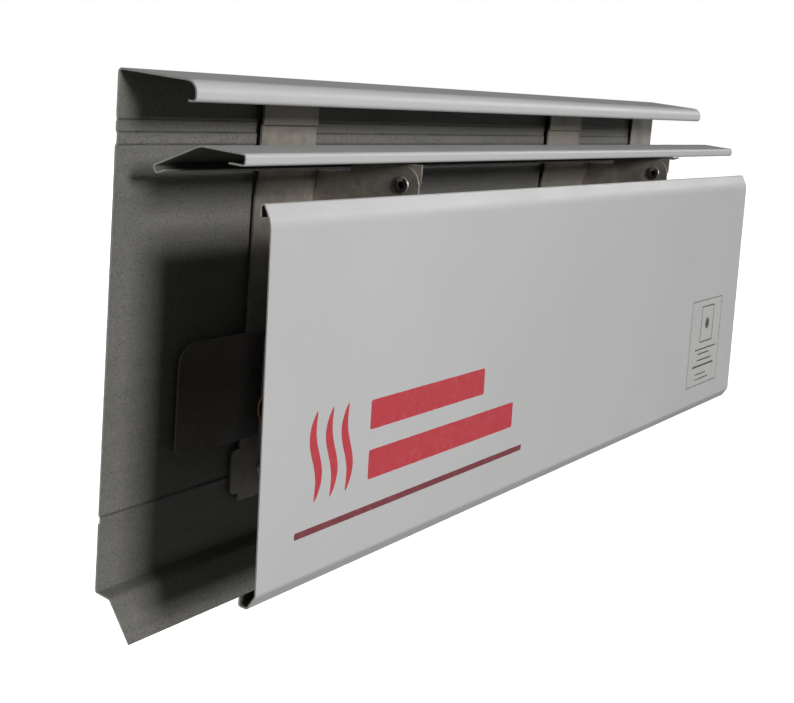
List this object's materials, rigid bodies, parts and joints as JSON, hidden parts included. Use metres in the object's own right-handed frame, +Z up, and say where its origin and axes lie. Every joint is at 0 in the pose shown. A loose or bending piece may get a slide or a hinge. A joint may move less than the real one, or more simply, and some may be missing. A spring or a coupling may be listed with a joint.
{
  "type": "hydronic baseboard heater",
  "caption": "Short wall-hung hydronic baseboard heater section: hooded back panel, lift-off front cover, hinged full-length damper and a finned copper tube on sliding cradles.",
  "frame": {"origin": "centre of the back panel's flat wall face", "axes": "+X along the heater, to the right for someone facing it; +Y into the wall, so the room is at -Y; +Z up"},
  "size_m": [0.6155, 0.0792, 0.2409],
  "materials": {
    "front_enamel": "satin off-white baked enamel",
    "backer_enamel": "satin grey-white primer enamel",
    "bracket_steel": "dull galvanised sheet",
    "rivet_steel": "zinc-plated",
    "glide_plastic": "moulded nylon",
    "copper": "drawn copper, lightly tarnished",
    "fin_aluminium": "mill finish"
  },
  "bodies": {
    "wall_frame": {"back_panel": "backer_enamel", "hanger_bracket_1": "bracket_steel", "hanger_bracket_2": "bracket_steel", "splice_plate": "bracket_steel", "pivot_rivet_1": "rivet_steel", "pivot_rivet_2": "rivet_steel", "friction_washer_1": "rivet_steel", "friction_washer_2": "rivet_steel", "bracket_rivet_1_a": "rivet_steel", "bracket_rivet_1_b": "rivet_steel", "bracket_rivet_2_a": "rivet_steel", "bracket_rivet_2_b": "rivet_steel", "splice_rivet_a": "rivet_steel", "splice_rivet_b": "rivet_steel", "expansion_glide_1": "glide_plastic", "expansion_glide_2": "glide_plastic"},
    "damper": {"damper_blade": "front_enamel", "damper_arm_1": "bracket_steel", "damper_arm_2": "bracket_steel"},
    "cover": {"front_cover": "front_enamel"},
    "element": {"copper_tube": "copper", "fin_pack": "fin_aluminium", "element_cradle_1": "bracket_steel", "element_cradle_2": "bracket_steel"}
  },
  "joints": [
    {"name": "damper_hinge", "type": "hinge", "parent": "wall_frame", "child": "damper", "pos_m": [0, -0.053, 0.0645], "axis": [1, 0, 0], "range_deg": [0, 50]},
    {"name": "cover_lift", "type": "slide", "parent": "wall_frame", "child": "cover", "axis": [0, 0, 1], "range_m": [0, 0.0045]},
    {"name": "element_expansion", "type": "slide", "parent": "wall_frame", "child": "element", "axis": [1, 0, 0], "range_m": [-0.003, 0.003]}
  ]
}
